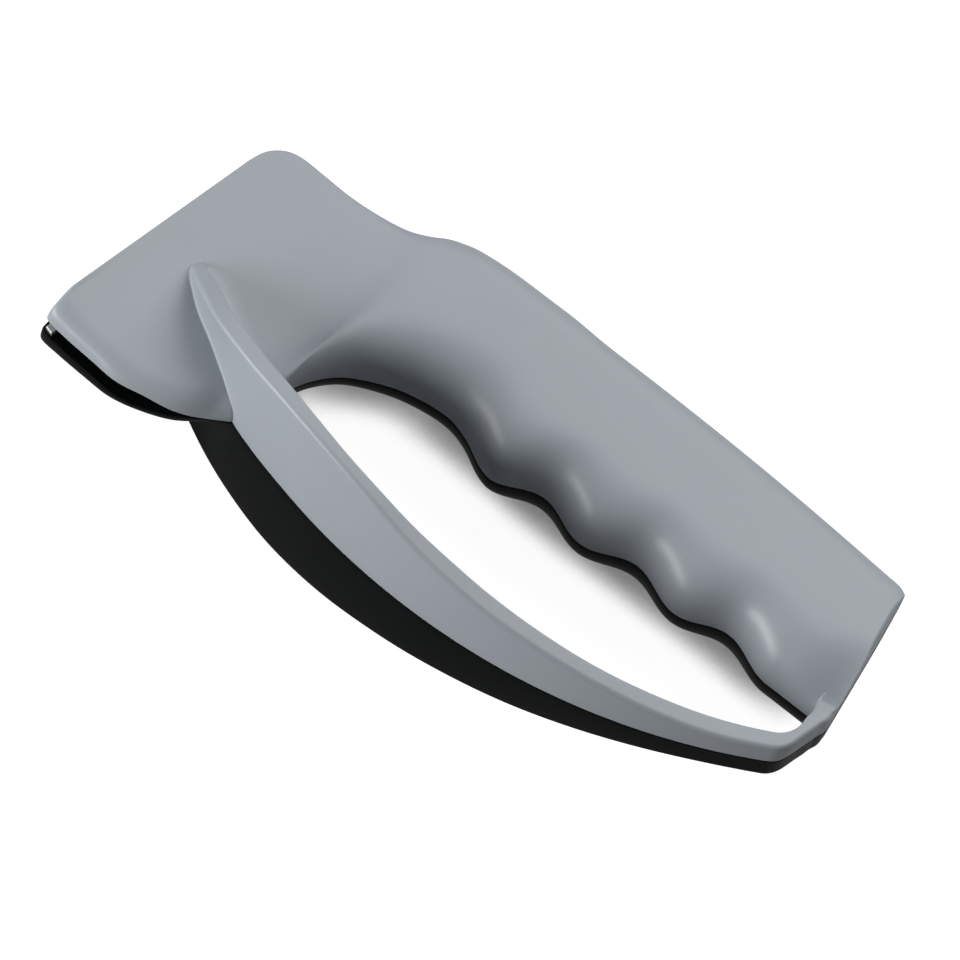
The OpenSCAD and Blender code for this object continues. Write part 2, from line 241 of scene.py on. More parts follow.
# What differs from one half to the other: the roll along the lower edge, with its powers at the
# mouth, along the fingers and at the butt, and the rounding and crown of the guard
lips = {
    "grey": {"round": 5.0, "edge": [2.3, 4], "finger": [2.8, 2.2], "butt": [1.7, 1.5],
             "rimRound": 0.9, "crown": 1},
    "black": {"round": 2.4, "edge": [4, 4], "finger": [2.5, 2], "butt": [2.5, 2],
              "rimRound": 0.4, "crown": 0.8},
}

# The blade slot between the cheeks: each section has as many columns with a slot as without
slot = {
    "halfGap": 1.8,
    "depth": 14.4,
    "length": 35,
    "past": 2,
    "endShare": 0.09,
    "lip": 0.3,
    "taper": 12,
    "closedAt": 32,
    "floorColumns": 4,
    "wallColumns": 4,
    "lipColumns": 5,
}


def guardFrame():
    # centres and angles of the guard's arc and of the corner that takes it to the butt
    centre = np.array([guard["lowShare"] * overall["length"], guard["rise"] + guard["radius"]])
    reach = guard["radius"] - guard["corner"]
    far = overall["length"] - guard["buttInset"]
    cornerAngle = math.asin((far - guard["corner"] - centre[0]) / reach)
    cornerCentre = centre + reach * np.array([math.sin(cornerAngle), -math.cos(cornerAngle)])
    tipAngle = math.asin((guard["tipShare"] * overall["length"] - centre[0]) / guard["radius"])
    lean = body["buttLean"]
    foot = cornerCentre + guard["corner"] * np.array([math.cos(lean), math.sin(lean)])
    return centre, tipAngle, cornerAngle, cornerCentre, foot


guardCentre, tipAngle, cornerAngle, cornerCentre, buttFoot = guardFrame()


def buttX(y):
    # x of the butt's plane at y: a straight line that leans back from the guard's corner
    return buttFoot[0] + body["buttOut"] - (y - buttFoot[1]) * math.tan(body["buttLean"])


def gripRow(v):
    # a row of the grip at share v of its length: back edge, ridge line and full growth; both edges
    # are straight lines with half a sine wave of crown or sag
    spine = overall["width"] - body["spineCrown"]
    yBack = spine + body["spineCrown"] * math.sin(math.pi * v) if v < 1 else spine - body["buttCorner"]
    yFront = spine - body["gripWidth"] + (body["gripWidth"] - body["buttWidth"]) * v
    yFront += body["gripSag"] * math.sin(math.pi * v)
    first = body["firstRidgeShare"] * overall["length"]
    last = buttX(yBack) - (body["buttCorner"] * (1 - math.cos(math.pi / 2 * v)) if v < 1 else 0)
    return [first + (last - first) * v, yBack, first + (buttX(yFront) - first) * v, yFront, 1, 1, 1]


def bodyTable():
    # all rows in millimetres: those of the head and neck times the overall size, then the grip's
    scale = np.array([overall["length"], overall["width"], overall["length"], overall["width"], 1, 1, 1])
    return np.vstack([np.array(body["headShares"]) * scale, [gripRow(v) for v in body["gripShares"]]])


def hollow(x):
    # depth of the finger hollows along the handle: raised cosines between the ridges
    first, pitch = body["firstRidgeShare"] * overall["length"], body["fingerPitch"]
    within = (x > first) & (x < first + body["fingerHollows"] * pitch)
    return np.where(within, body["fingerDepth"] * (1 - np.cos(2 * np.pi * (x - first) / pitch)) / 2, 0)


def endDrop(distance, radius):
    # height lost to the quarter round at an end face: r - sqrt(r^2 - s^2), where s = r - distance
    s = np.clip(radius - distance, 0, radius)
    return radius - np.sqrt(radius**2 - s**2)


def cornerFillet(x, y):
    # how far the body's edge stands out near the guard's outer face, at distance t from it:
    # a parabola h (1 - t / reach)^2, so that the two meet in a round corner
    t = np.hypot(x - guardCentre[0], y - guardCentre[1]) - guard["radius"]
    near = np.clip(1 - np.abs(t) / guard["cornerReach"], 0, 1) ** 2
    return guard["cornerRise"] * near * easeStep(1 + t / guard["wall"])


def bodyRows(u, lip):
    # everything that a section of the body needs, for an array of places along the table
    table = bodyTable()
    first, full = body["smoothFrom"]
    spread = mix(body["headSmoothing"], body["smoothing"], easeStep((u - first) / (full - first)))
    spread = np.minimum(spread, np.abs(lastRow - u) / body["buttSharp"] * body["smoothing"])
    r = alongRowsSmoothly(table, u, spread)
    back, ridge, middle = r[:, 0:2], r[:, 2:4], (r[:, 0:2] + r[:, 2:4]) / 2
    across = unit(back - ridge)
    dip = hollow(ridge[:, 0])
    start, end = (table[0, 0:2] + table[0, 2:4]) / 2, (table[-1, 0:2] + table[-1, 2:4]) / 2
    toButt = np.linalg.norm(middle - end, axis=1)
    drop = np.maximum(endDrop(np.linalg.norm(middle - start, axis=1), body["endRound"]),
                      endDrop(toButt, body["buttRound"]))
    front = ridge + across * dip[:, None]
    wide = np.clip(r[:, 6], 0, 1)
    atButt = easeStep(1 - toButt / body["buttFade"])
    flatFront, steepFront = (mix(mix(lip["edge"][i], lip["finger"][i], wide), lip["butt"][i], atButt)
                             for i in (0, 1))
    return {
        "frontX": front[:, 0],
        "frontY": front[:, 1],
        "acrossX": across[:, 0],
        "acrossY": across[:, 1],
        "span": np.linalg.norm(back - front, axis=1),
        "drop": drop,
        "heightBack": mix(body["halfHead"], body["halfHandle"], r[:, 4]),
        "heightFront": mix(body["halfMouth"], body["halfHandle"], r[:, 5]),
        "rollBack": mix(body["headRound"], body["spineRound"], r[:, 4]),
        "rollFront": mix(lip["round"], body["fingerRound"], np.maximum(r[:, 6], 0)) - dip,
        "flatBack": mix(body["headEdge"][0], body["spineEdge"][0], r[:, 4]),
        "steepBack": mix(body["headEdge"][1], body["spineEdge"][1], r[:, 4]),
        "flatFront": flatFront,
        "steepFront": steepFront,
        "lean": math.tan(body["buttDraft"]) * np.clip(1 - toButt / (2 * body["halfHandle"]), 0, 1),
    }


def rollHeight(d, roll, height, flat, steep):
    # roll s^flat + (z / height)^steep = 1, with s = 1 at the edge and 0 where the face begins:
    # height over the parting plane at distance d from the edge
    share = np.clip(1 - d / roll, 0, 1)
    return height * (1 - share**flat) ** (1 / steep)


def rollDistance(z, roll, height, flat, steep):
    # the same roll read the other way: distance from the edge at height z
    share = np.clip(z / height, 0, 1)
    return roll * (1 - (1 - share**steep) ** (1 / flat))


def bodyHeight(rows, d):
    # height of a half's outer face at distance d from its front edge, and 0 outside the outline
    front = rollHeight(d, rows["rollFront"], rows["heightFront"], rows["flatFront"], rows["steepFront"])
    back = rollHeight(rows["span"] - d, rows["rollBack"], rows["heightBack"], rows["flatBack"],
                      rows["steepBack"])
    faceSpan = rows["span"] - rows["rollFront"] - rows["rollBack"]
    t = np.clip((d - rows["rollFront"]) / faceSpan, 0, 1)
    face = mix(rows["heightFront"], rows["heightBack"], t)
    z = np.where(d < rows["rollFront"], front, np.where(d > rows["span"] - rows["rollBack"], back, face))
    z = np.minimum(z, face - rows["drop"])
    return np.where((d > 0) & (d < rows["span"]), z, 0)


def slotFloor(x):
    # y of the slot's floor: a straight line from its depth at the front end to its far end
    endY = slot["endShare"] * overall["width"]
    return slot["depth"] + (endY - slot["depth"]) * x / slot["length"]


def slotReach(rows):
    # distance along each section from the front edge to the slot's floor, 0 where there is no slot
    slope = slotFloor(1.0) - slotFloor(0.0)
    gap = slotFloor(rows["frontX"]) - rows["frontY"]
    reach = gap / (rows["acrossY"] - slope * rows["acrossX"])
    return np.where(rows["frontX"] < slot["length"] + slot["past"], np.clip(reach, 0, None), 0)


def bodySection(rows):
    # distance and height of each column of the body's grid: slot or lower edge, roll, face, roll
    column = {k: v[:, None] for k, v in rows.items()}
    roll, high = column["rollFront"], column["heightFront"]
    flat, steep = column["flatFront"], column["steepFront"]
    # the gap between the cheeks closes towards the slot's far end
    closing = easeStep((column["frontX"] - slot["closedAt"] + slot["taper"]) / slot["taper"])
    top = slot["halfGap"] * (1 - closing)
    lip = np.maximum(slot["lip"] * (1 - closing), seam["groove"])
    levels = np.array(seam["levels"])[None]
    lowColumns = slot["floorColumns"] + slot["wallColumns"] + slot["lipColumns"]
    rise = np.linspace(0, 1, lowColumns - levels.size + 1)[None, 1:]
    lowLevels = np.hstack([levels + 0 * top, mix(seam["groove"], top + lip, rise)])
    reach = slotReach(rows)[:, None]
    # with no slot the lower edge follows the roll
    plainD = rollDistance(lowLevels, roll, high, flat, steep) + seamInset(lowLevels)
    # with a slot: up its floor, out along the cheek's inner wall, round the lip
    floorT = np.linspace(0, 1, slot["floorColumns"])[None]
    wallT = np.linspace(0, 1, slot["wallColumns"] + 2)[None, 1:-1]
    turn = np.linspace(0, np.pi / 2, slot["lipColumns"])[None]
    lipD = rollDistance(top + lip, roll, high, flat, steep)
    slotD = np.hstack([reach + 0 * floorT, mix(reach, lipD + lip, wallT),
                       lipD + lip * (1 - np.sin(turn))])
    slotZ = np.hstack([top * floorT, top + 0 * wallT, top + lip * (1 - np.cos(turn))])
    # the cheek's inner wall can't start outside the floor
    slotD = np.where(slotZ >= top, np.minimum(slotD, np.maximum(reach, lipD)), slotD)
    isSlot = reach > lipD + lip
    lowD = np.where(isSlot, slotD, plainD)
    lowZ = np.where(isSlot, slotZ, lowLevels)
    # front roll, face and back roll
    first = np.arcsin(np.clip((top + lip) / high, 0, 1) ** (steep / 2))
    a = mix(first, np.pi / 2, np.linspace(0, 1, body["rollColumns"])[None, 1:])
    frontD = roll * (1 - np.clip(np.cos(a), 0, 1) ** (2 / flat))
    frontZ = high * np.sin(a) ** (2 / steep)
    faceT = np.linspace(0, 1, body["faceColumns"])[None, 1:-1]
    backRoll, backHigh = column["rollBack"], column["heightBack"]
    flat, steep = column["flatBack"], column["steepBack"]
    faceD = mix(roll, column["span"] - backRoll, faceT)
    faceZ = mix(high, backHigh, faceT)
    last = np.arcsin(np.clip(seam["groove"] / backHigh, 0, 1) ** (steep / 2))
    b = mix(np.pi / 2, last, np.linspace(0, 1, body["rollColumns"])[None, :-1])
    backD = column["span"] - backRoll * (1 - np.clip(np.cos(b), 0, 1) ** (2 / flat))
    backZ = backHigh * np.sin(b) ** (2 / steep)
    edgeD = column["span"] - rollDistance(levels, backRoll, backHigh, flat, steep) - seamInset(levels)
    edgeZ = levels + 0 * backRoll
    d = np.hstack([lowD, frontD, faceD, backD, edgeD[:, ::-1]])
    z = np.hstack([lowZ, frontZ, faceZ, backZ, edgeZ[:, ::-1]])
    limit = mix(high, backHigh, np.clip((d - roll) / (column["span"] - roll - backRoll), 0, 1))
    return d, np.minimum(z, limit - column["drop"])


def bodyGrid(lip):
    # a ring for each section: its front point plus distance times its direction across, at height z
    rows = bodyRows(np.linspace(0, lastRow, lastRow * body["stationsPerRow"] + 1), lip)
    d, z = bodySection(rows)
    acrossX, acrossY = rows["acrossX"][:, None], rows["acrossY"][:, None]
    x = rows["frontX"][:, None] + acrossX * d - z * rows["lean"][:, None]
    y = rows["frontY"][:, None] + acrossY * d
    proud = cornerFillet(x, y) * (d < rows["span"][:, None] / 2)
    return np.stack([x - acrossX * proud, y - acrossY * proud, z], axis=2)


class BodyFinder:
    # finds where a point of the plan lies on the body: which section, how far from its front edge
    farOff = -100  # distance that is given to a point on no section

    def __init__(self, lip):
        self.u = np.linspace(0, lastRow, lastRow * body["searchPerRow"] + 1)
        self.rows = bodyRows(self.u, lip)

    def locate(self, x, y):
        # the point lies between two sections where its signed distances from them change sign
        shape = x.shape
        x, y = x.ravel()[:, None], y.ravel()[:, None]
        r = {k: v[None] for k, v in self.rows.items()}
        side = r["acrossX"] * (y - r["frontY"]) - r["acrossY"] * (x - r["frontX"])
        d = r["acrossX"] * (x - r["frontX"]) + r["acrossY"] * (y - r["frontY"])
        crosses = side[:, :-1] * side[:, 1:] <= 0
        t = side[:, :-1] / np.where(side[:, :-1] == side[:, 1:], 1, side[:, :-1] - side[:, 1:])
        reach = mix(d[:, :-1], d[:, 1:], t)
        outside = np.abs(reach - np.clip(reach, 0, r["span"][:, :-1]))
        best = np.argmin(np.where(crosses, outside, np.inf), axis=1)
        pick = np.arange(len(best))
        found = crosses[pick, best]
        place = self.u[best] + t[pick, best] * (self.u[1] - self.u[0])
        rows = {k: np.interp(place, self.u, v) for k, v in self.rows.items()}
        distance = np.where(found, reach[pick, best], self.farOff)
        return distance.reshape(shape), bodyHeight(rows, distance).reshape(shape)


def guardStations():
    # foot, direction into the tool and profile sizes for each station: arc, corner, butt strip
    n = guard["arcStations"]
    table = np.array(guard["shares"])
    u = np.linspace(0, len(table) - 1, n)
    r = alongRowsSmoothly(table, u, guard["smoothing"])
    angle = mix(tipAngle, cornerAngle, r[:, 0])
    out = np.stack([np.sin(angle), -np.cos(angle)], axis=1)
    foot = guardCentre + guard["radius"] * out
    half = np.maximum(r[:, 1] * overall["halfGuard"], guard["halfButt"])
    # the fin's tip sinks into the cheek over its first stretch
    travelled = guard["radius"] * (angle - tipAngle)
    sink = guard["tipSink"] * (1 - easeStep(travelled / guard["tipRun"]))
    # distance along the outer face from the middle of the corner's cut
    toCut = guard["radius"] * (cornerAngle - angle) + guard["corner"] * (guard["cutAngle"] - cornerAngle)
    arc = [foot, -out, half, r[:, 5] * guard["wall"], r[:, 4] * guard["wall"],
           r[:, 2] * guard["finLift"], r[:, 3] * guard["finLift"],
           np.full(n, guard["toeOuter"]), np.full(n, guard["toeInner"]), toCut, sink]

    lean = body["buttLean"]
    angle = np.linspace(cornerAngle, math.pi / 2 + lean, guard["cornerStations"])[1:]
    cornerOut = np.stack([np.sin(angle), -np.cos(angle)], axis=1)
    cornerFoot = cornerCentre + guard["corner"] * cornerOut
    stripOut = np.array([math.cos(lean), math.sin(lean)])
    up = np.array([-math.sin(lean), math.cos(lean)])
    handleY = gripRow(1)[3]
    stripLength = (handleY - buttFoot[1]) / math.cos(lean) + guard["stripSeat"]
    along = np.linspace(0, stripLength, guard["stripStations"])[1:, None]
    # its outer face swells from the corner's out to just inside the butt's plane
    flare = (body["buttOut"] - guard["stripInset"]) * easeStep(along / guard["stripFlare"])
    stripFoot = buttFoot + along * up + flare * stripOut
    toCut = np.concatenate([guard["corner"] * (angle - guard["cutAngle"]),
                            guard["corner"] * (angle[-1] - guard["cutAngle"]) + along[:, 0]])
    foot = np.vstack([cornerFoot, stripFoot])
    inward = -np.vstack([cornerOut, np.tile(stripOut, (len(along), 1))])
    m = len(foot)
    # the strip's upper end sinks into the handle as the fin's tip does into the cheek
    sinkStrip = guard["tipSink"] * easeStep(1 + (along[:, 0] - stripLength) / guard["tipRun"])
    wall = table[-1, 5] * guard["wall"]
    end = [foot, inward, np.full(m, guard["halfButt"]), np.full(m, wall), np.zeros(m), np.zeros(m),
           np.zeros(m), np.zeros(m), np.full(m, guard["toeStrip"]), toCut,
           np.concatenate([np.zeros(m - len(along)), sinkStrip])]
    return [np.concatenate([a, b]) for a, b in zip(arc, end)]


def guardGrid(finder, lip):
    # the guard's profile carried along its stations; toes land on the body's face with a fillet
    foot, inward, *sizes = guardStations()
    foot, inward = foot[:, None, :], inward[:, None, :]
    sizes = (s[:, None] for s in sizes)
    half, thick, crown, footLift, rimLift, toeOuter, toeInner, toCut, sink = sizes
    cut = guard["cornerCut"] * np.cos(np.clip(toCut / guard["cutSpread"], -1, 1) * np.pi / 2) ** 2

    def faceOffset(z, inner):
        # offset of the outer or inner face from the foot, at height z
        q = (np.clip(z, 0, half) / half) ** 2
        return mix(footLift, rimLift, q) + (thick if inner else lip["crown"] * crown * q + cut)

    def planOf(o):
        # x and y at offset o from the foot
        return foot[..., 0] + inward[..., 0] * o, foot[..., 1] + inward[..., 1] * o

    def rimTop(ground):
        # the rim runs out on the body where that stands higher, and then sinks into it
        under = easeStep((ground - half - guard["blend"]) / guard["blend"])
        return softMax(half, ground, guard["blend"]) - sink - guard["tipSink"] * under

    def side(inner):
        # foot, toe, wall and rim rounding of one side, from the parting plane up to the rim
        sign = 1 if inner else -1
        rounding = guard["rimInnerRound"] if inner else lip["rimRound"]
        toe = toeInner if inner else toeOuter
        ground = finder.locate(*planOf(faceOffset(0 * half, inner)))[1]
        depth, ground = finder.locate(*planOf(faceOffset(ground, inner)))
        top = rimTop(ground)
        free = np.maximum(top - ground, 0)
        rounding = np.minimum(rounding, guard["roundShare"] * free)
        toeWide = toe * easeStep(depth / (2 * np.maximum(toe, guard["leastToe"])))
        toeWide = np.minimum(toeWide, guard["toeSpread"] * free)
        toeHigh = np.minimum(toeWide, guard["toeShare"] * free)
        wallO = faceOffset(ground - sink + toeHigh, inner)
        a = np.linspace(np.pi / 2, 0, guard["toeColumns"])[None]
        toeO = wallO + sign * toeWide * (1 - np.clip(np.cos(a), 0, 1) ** guard["toePower"])
        toeGround = finder.locate(*planOf(toeO))[1] - sink
        toeZ = toeGround + toeHigh * (1 - np.sin(a))
        low, end = toeZ[:, -1:], np.maximum(top - rounding, toeZ[:, -1:])
        levels = low + np.array(seam["levels"])[None, 1:]
        steps = np.linspace(0, 1, guard["wallColumns"])[None, 1:]
        wallZ = np.hstack([np.minimum(levels, end), mix(np.minimum(levels[:, -1:], end), end, steps)])
        wallD = faceOffset(wallZ, inner)
        b = np.linspace(0, np.pi / 2, guard["roundColumns"])[None, 1:]
        roundZ = top - (top - end) * (1 - np.sin(b))
        roundO = faceOffset(roundZ, inner) - sign * rounding * (1 - np.cos(b))
        o = np.hstack([toeO[:, :1], toeO, wallD, roundO])
        z = np.hstack([0 * top, toeZ, wallZ, roundZ])
        return o - sign * seamInset(z), z

    outerO, outerZ = side(False)
    innerO, innerZ = side(True)
    t = np.linspace(0, 1, guard["rimColumns"] + 2)[None, 1:-1]
    rimO = mix(outerO[:, -1:], innerO[:, -1:], t)
    rimGround = finder.locate(*planOf(rimO))[1]
    rimZ = rimTop(rimGround)
    o = np.hstack([outerO, rimO, innerO[:, ::-1]])
    z = np.hstack([outerZ, rimZ, innerZ[:, ::-1]])
    x, y = planOf(o)
    return np.stack([x, y, z], axis=2)


def gridFaces(rows, columns, offset):
    # quads between neighbouring rings of a grid whose rings are closed
    i, j = np.meshgrid(np.arange(rows - 1), np.arange(columns), indexing="ij")
    a, b = i * columns + j, i * columns + (j + 1) % columns
    return (np.stack([a, b, b + columns, a + columns], axis=-1).reshape(-1, 4) + offset).tolist()


# A skin fills this share of the solids' length and width; points nearer than the merging distance
# become one, and an edge is sharp from this angle on
skinning = {"share": 0.9998, "merge": 1e-7, "sharp": math.radians(38)}


def buildHalf(name, grids, mirrored):
    # one closed skin for each grid of rings, with a flat face at both ends
    points, faces = [], []
    for grid in grids:
        n, m = grid.shape[:2]
        start = sum(len(p) for p in points)
        points.append(grid.reshape(-1, 3))
        faces += gridFaces(n, m, start)
        faces.append((start + np.arange(m)[::-1]).tolist())
        faces.append((start + (n - 1) * m + np.arange(m)).tolist())
    sketch = np.vstack(points) * np.array([1, 1, -1 if mirrored else 1])
    place = np.array([-overall["length"] / 2, -overall["width"] / 2, overall["halfGuard"]])
    share = np.array([skinning["share"], skinning["share"], 1])
    mesh = bpy.data.meshes.new(name)
    mesh.from_pydata(((sketch + place) * mm * share).tolist(), [], faces)
    work = bmesh.new()
    work.from_mesh(mesh)
    bmesh.ops.remove_doubles(work, verts=work.verts, dist=skinning["merge"])
    bmesh.ops.recalc_face_normals(work, faces=work.faces)
    work.to_mesh(mesh)
    work.free()
    mesh.polygons.foreach_set("use_smooth", np.ones(len(mesh.polygons), bool))
    mesh.set_sharp_from_angle(angle=skinning["sharp"])
    piece = bpy.data.objects.new(name, mesh)
    bpy.context.scene.collection.objects.link(piece)
    return piece


shells = {}
for tone, lip in lips.items():
    skins = [bodyGrid(lip), guardGrid(BodyFinder(lip), lip)]
    shells[tone] = buildHalf(f"{tone}_shell", skins, tone == "black")
    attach(shells[tone], "root")
    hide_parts(f"{tone}_half_shell")
    print(tone, "half shell built, grids:", [skin.shape for skin in skins])


class Wire:
    # a socket that can be written in sums; each operator adds a Math node
    def __init__(self, paint, socket):
        self.paint = paint
        self.socket = socket

    def sum(self, operation, first, second):
        made = self.paint.node("ShaderNodeMath", {"operation": operation}, {0: first, 1: second})
        return Wire(self.paint, made.outputs[0])

    def __add__(self, other):
        return self.sum("ADD", self, other)

    def __radd__(self, other):
        return self.sum("ADD", other, self)

    def __sub__(self, other):
        return self.sum("SUBTRACT", self, other)

    def __rsub__(self, other):
        return self.sum("SUBTRACT", other, self)

    def __mul__(self, other):
        return self.sum("MULTIPLY", self, other)

    def __rmul__(self, other):
        return self.sum("MULTIPLY", other, self)

    def __abs__(self):
        return self.sum("ABSOLUTE", self, 0.0)


class Paint:
    # the nodes of a material or a world, which one method makes
    def __init__(self, owner):
        self.owner = owner
        owner.use_nodes = True
        self.tree = owner.node_tree
        self.tree.nodes.clear()

    def node(self, kind, settings=None, values=None):
        made = self.tree.nodes.new(kind)
        for key, value in (settings or {}).items():
            setattr(made, key, value)
        for key, value in (values or {}).items():
            if isinstance(value, Wire):
                self.tree.links.new(value.socket, made.inputs[key])
            else:
                made.inputs[key].default_value = value
        return made

    def wire(self, made, output=0):
        return Wire(self, made.outputs[output])

    def step(self, value, start, end, low, high):
        # low before start, high after end, and a smooth step between them
        return self.wire(self.node("ShaderNodeMapRange", {"interpolation_type": "SMOOTHSTEP"}, {
            "Value": value, "From Min": start, "From Max": end, "To Min": low, "To Max": high}))

    def blend(self, share, first, second):
        # two colours mixed; a mix node has its colours at sockets 6 and 7 and the result at 2
        made = self.node("ShaderNodeMix", {"data_type": "RGBA"}, {0: share, 6: first, 7: second})
        return self.wire(made, 2)

    def finish(self, shader, output="ShaderNodeOutputMaterial"):
        self.node(output, None, {"Surface": self.wire(shader)})
        return self.owner


plastic = {
    "grey": {"base": (0.335, 0.365, 0.400, 1), "roughness": 0.38, "mottle": 0.02, "gloss": 0.45},
    "black": {"base": (0.0036, 0.0041, 0.0044, 1), "roughness": 0.32, "mottle": 0.25, "gloss": 0.05},
    "grainSize": 0.35 * mm,
    "grainDepth": 0.006 * mm,
    "grainStrength": 0.5,
    "grainDetail": 2.0,
    "grainRough": 0.6,
    "mottleSize": 9 * mm,
    "mottleDetail": 3.0,
    "roughSpread": 0.08,
    "seamDepth": 0.12 * mm,
    "seamShadeCover": 0.8,
    "seamShadeLevel": 0.35,
}


def shaded(colour, share):
    # a colour times a share
    return tuple(c * share for c in colour[:3]) + (1,)


def plasticPaint(name, look):
    # satin moulded plastic: fine spark grain, slow mottling, painted shade in the seam groove
    p = Paint(bpy.data.materials.new(name))
    place = p.wire(p.node("ShaderNodeTexCoord"), "Object")
    grain = p.wire(p.node("ShaderNodeTexNoise", None, {
        "Vector": place, "Scale": 1 / plastic["grainSize"], "Detail": plastic["grainDetail"],
        "Roughness": plastic["grainRough"]}), "Fac")
    mottle = p.wire(p.node("ShaderNodeTexNoise", None, {
        "Vector": place, "Scale": 1 / plastic["mottleSize"], "Detail": plastic["mottleDetail"]}), "Fac")
    height = p.wire(p.node("ShaderNodeSeparateXYZ", None, {"Vector": place}), "Z")
    # painted shade: the colour darkens to about half its tone within seamDepth of the parting plane,
    # where the groove is
    near = p.step(abs(height - overall["halfGuard"] * mm), 0.0, plastic["seamDepth"], 1.0, 0.0)
    base, spread = look["base"], look["mottle"]
    tint = p.blend(mottle, shaded(base, 1 - spread), shaded(base, 1 + spread))
    colour = p.blend(near * plastic["seamShadeCover"], tint, shaded(base, plastic["seamShadeLevel"]))
    bump = p.node("ShaderNodeBump", None, {
        "Height": grain, "Strength": plastic["grainStrength"], "Distance": plastic["grainDepth"]})
    lowRough = look["roughness"] - plastic["roughSpread"] / 2
    shader = p.node("ShaderNodeBsdfPrincipled", None, {
        "Base Color": colour, "Roughness": mottle * plastic["roughSpread"] + lowRough,
        "Normal": p.wire(bump), "Specular IOR Level": look["gloss"]})
    return p.finish(shader)


metal = {
    "base": (0.50, 0.51, 0.52, 1),
    "metallic": 0.7,
    "roughness": 0.45,
    "roughSpread": 0.12,
    "lineSize": 0.06 * mm,
    "lineStretch": 0.08,
    "lineDetail": 2.0,
    "lineDepth": 0.004 * mm,
    "lineStrength": 0.4,
}


def metalPaint(name):
    # ground hard metal: fine lines across the insert, from a noise stretched along its height
    p = Paint(bpy.data.materials.new(name))
    place = p.wire(p.node("ShaderNodeTexCoord"), "Object")
    turned = p.node("ShaderNodeMapping", None, {"Vector": place, "Scale": (1, 1, metal["lineStretch"])})
    lines = p.wire(p.node("ShaderNodeTexNoise", None, {
        "Vector": p.wire(turned), "Scale": 1 / metal["lineSize"], "Detail": metal["lineDetail"]}), "Fac")
    bump = p.node("ShaderNodeBump", None, {
        "Height": lines, "Strength": metal["lineStrength"], "Distance": metal["lineDepth"]})
    shader = p.node("ShaderNodeBsdfPrincipled", None, {
        "Base Color": metal["base"], "Metallic": metal["metallic"],
        "Roughness": lines * metal["roughSpread"] + metal["roughness"], "Normal": p.wire(bump)})
    return p.finish(shader)


for tone, shell in shells.items():
    shell.data.materials.append(plasticPaint(f"{tone}_plastic", plastic[tone]))
hardMetal = metalPaint("hard_metal")
for name in ("front_carbide_insert", "rear_carbide_insert"):
    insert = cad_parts[name]
    insert.data.materials.clear()
    insert.data.materials.append(hardMetal)
print("materials made")

# The camera looks down on the tool, tilted towards the guard, and turned so that the handle
# runs to the lower right
view = {
    "back": (0.15759, -0.50594, 0.84805),
    "right": (0.76040, 0.61009, 0.22267),
    "aim": (-0.4974 * mm, -1.4616 * mm, 18.7 * mm),
    "distance": 2.5,
    "shownWidth": 0.1619,
    "sensor": 36,
    "clip": (0.01, 20),
}


def placeCamera():
    # a frame of right, up and back axes; the lens shows the wanted width at the aim's distance
    back = unit(np.array(view["back"]))
    right = np.array(view["right"])
    right = unit(right - back * (right @ back))
    up = np.cross(back, right)
    eye = np.array(view["aim"]) + view["distance"] * back
    turn = np.eye(4)
    turn[:3, 0], turn[:3, 1], turn[:3, 2], turn[:3, 3] = right, up, back, eye
    data = bpy.data.cameras.new("camera")
    data.sensor_width = view["sensor"]
    data.lens = view["sensor"] * view["distance"] / view["shownWidth"]
    data.clip_start, data.clip_end = view["clip"]
    camera = bpy.data.objects.new("camera", data)
    camera.matrix_world = Matrix(turn.tolist())
    bpy.context.scene.collection.objects.link(camera)
    bpy.context.scene.camera = camera


placeCamera()
print("camera placed")

# The main light comes in low from the mouth's side, the others from beyond the spine and the butt.
# The shadow's settings are the floor's: reach and levels of its occlusion, and where it may lie.
studio = {
    "floorSize": 6.0,
    "lamps": {
        "front_light": {"turn": 231, "rise": 13, "away": 1.25, "size": (1.15, 0.56), "power": 17.3},
        "spine_light": {"turn": 120, "rise": 55, "away": 1.2, "size": (1.1, 1.1), "power": 4.4},
        "butt_light": {"turn": 60, "rise": 55, "away": 1.2, "size": (1.1, 1.1), "power": 6.1},
        "back_light": {"turn": 90, "rise": 25, "away": 1.3, "size": (1.2, 1.0), "power": 5.3},
    },
    "worldLight": 0.045,
    "worldTint": (0.96, 0.98, 1, 1),
    "floorShade": 0.3,
    "floorGlow": 0.95,
    "glossyShare": 0.15,
    "shadowReach": 20 * mm,
    "shadowSamples": 48,
    "shadowFrom": 0.34,
    "shadowTo": 0.49,
    "shadowDeep": 0.14,
    "shadowInside": (106 * mm, 112 * mm),
    "archFrom": -34 * mm,
    "archTo": -18 * mm,
    "archShade": 0.09,
}


def areaLight(name, look):
    # a soft box at an angle round the object and over the floor, turned to face it
    turn, rise = math.radians(look["turn"]), math.radians(look["rise"])
    back = np.array([math.cos(rise) * math.cos(turn), math.cos(rise) * math.sin(turn), math.sin(rise)])
    right = unit(np.cross((0, 0, 1), back))
    data = bpy.data.lights.new(name, "AREA")
    data.shape = "ELLIPSE"
    data.size, data.size_y = look["size"]
    data.energy = look["power"]
    lamp = bpy.data.objects.new(name, data)
    axes = np.eye(4)
    axes[:3, 0], axes[:3, 1], axes[:3, 2] = right, np.cross(back, right), back
    axes[:3, 3] = look["away"] * back
    lamp.matrix_world = Matrix(axes.tolist())
    bpy.context.scene.collection.objects.link(lamp)


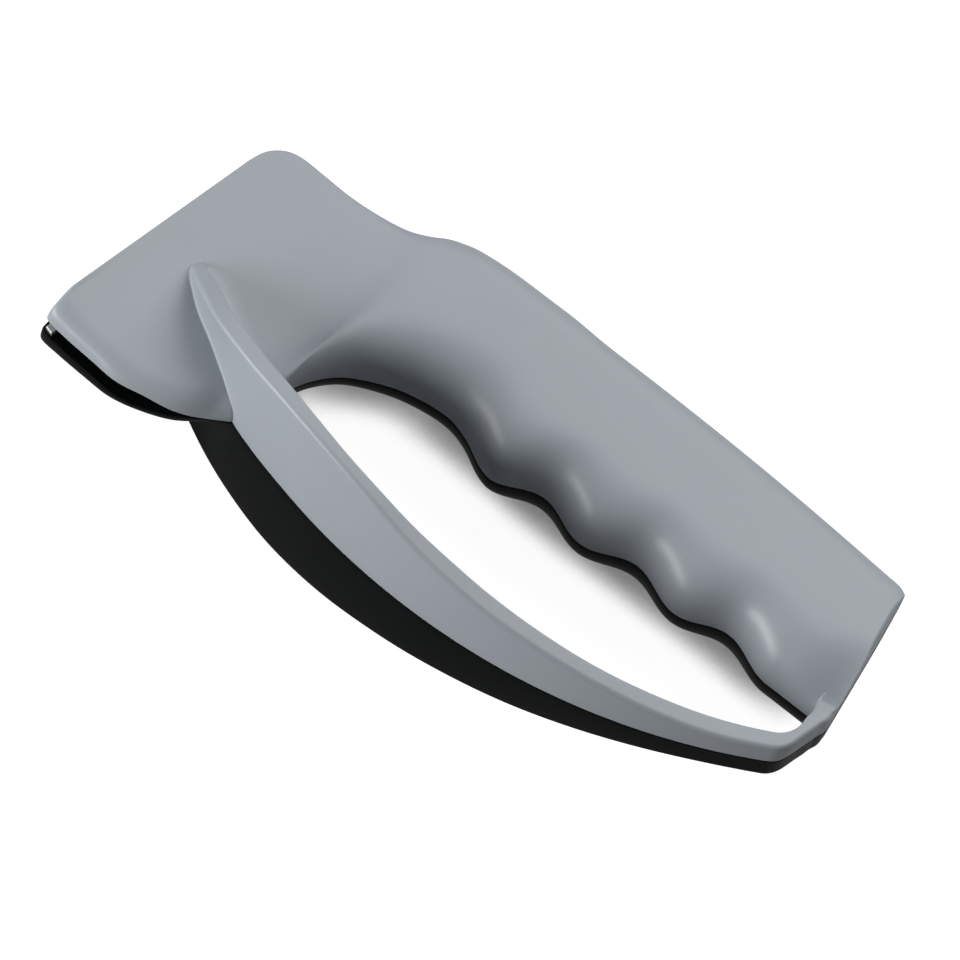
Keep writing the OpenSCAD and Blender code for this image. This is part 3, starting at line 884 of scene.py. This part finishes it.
def floorPaint():
    # pale floor: white to the camera, but for a soft shadow close to the object
    p = Paint(bpy.data.materials.new("pale_floor"))
    path = p.node("ShaderNodeLightPath")
    seen = p.wire(path, "Is Camera Ray") + studio["glossyShare"] * (
        p.wire(path, "Is Glossy Ray") + p.wire(path, "Is Transmission Ray"))
    shade = studio["floorShade"]
    clear = p.node("ShaderNodeAmbientOcclusion", {"samples": studio["shadowSamples"]},
                   {"Distance": studio["shadowReach"]})
    place = p.wire(p.node("ShaderNodeTexCoord"), "Object")
    # the shadow lies in the finger loop only, within the guard's circle, and deepest at the neck
    along = p.wire(p.node("ShaderNodeSeparateXYZ", None, {"Vector": place}), "X")
    atNeck = p.step(along, studio["archFrom"], studio["archTo"], studio["archShade"], 0.0)
    dark = p.step(p.wire(clear, "AO") - atNeck, studio["shadowFrom"], studio["shadowTo"],
                  1 - studio["shadowDeep"], 0.0)
    centreX, centreY = (guardCentre - np.array([overall["length"], overall["width"]]) / 2) * mm
    away = p.node("ShaderNodeVectorMath", {"operation": "DISTANCE"}, {0: place, 1: (centreX, centreY, 0)})
    inLoop = p.step(p.wire(away, "Value"), *studio["shadowInside"], 1.0, 0.0)
    light = 1 - dark * inLoop
    plain = p.node("ShaderNodeBsdfDiffuse", None, {"Color": (shade, shade, shade, 1)})
    glow = p.node("ShaderNodeEmission", None, {
        "Color": (1, 1, 1, 1), "Strength": light * seen * studio["floorGlow"]})
    both = p.node("ShaderNodeAddShader", None, {0: p.wire(plain), 1: p.wire(glow)})
    return p.finish(both)


def makeFloor():
    # one square face under the object
    s = studio["floorSize"] / 2
    mesh = bpy.data.meshes.new("floor")
    mesh.from_pydata([(-s, -s, 0), (s, -s, 0), (s, s, 0), (-s, s, 0)], [], [(0, 1, 2, 3)])
    floor = bpy.data.objects.new("floor", mesh)
    bpy.context.scene.collection.objects.link(floor)
    mesh.materials.append(floorPaint())


def makeWorld():
    # white to the camera, and a faint even light on the object
    p = Paint(bpy.data.worlds.new("studio"))
    path = p.node("ShaderNodeLightPath")
    light = p.node("ShaderNodeBackground", None, {
        "Color": studio["worldTint"], "Strength": studio["worldLight"]})
    white = p.node("ShaderNodeBackground", None, {"Color": (1, 1, 1, 1), "Strength": 1.0})
    choice = p.node("ShaderNodeMixShader", None, {
        0: p.wire(path, "Is Camera Ray"), 1: p.wire(light), 2: p.wire(white)})
    bpy.context.scene.world = p.finish(choice, "ShaderNodeOutputWorld")


makeFloor()
makeWorld()
for name, look in studio["lamps"].items():
    areaLight(name, look)
bpy.context.scene.view_settings.view_transform = "Standard"
print("studio set")

bpy.context.view_layer.update()
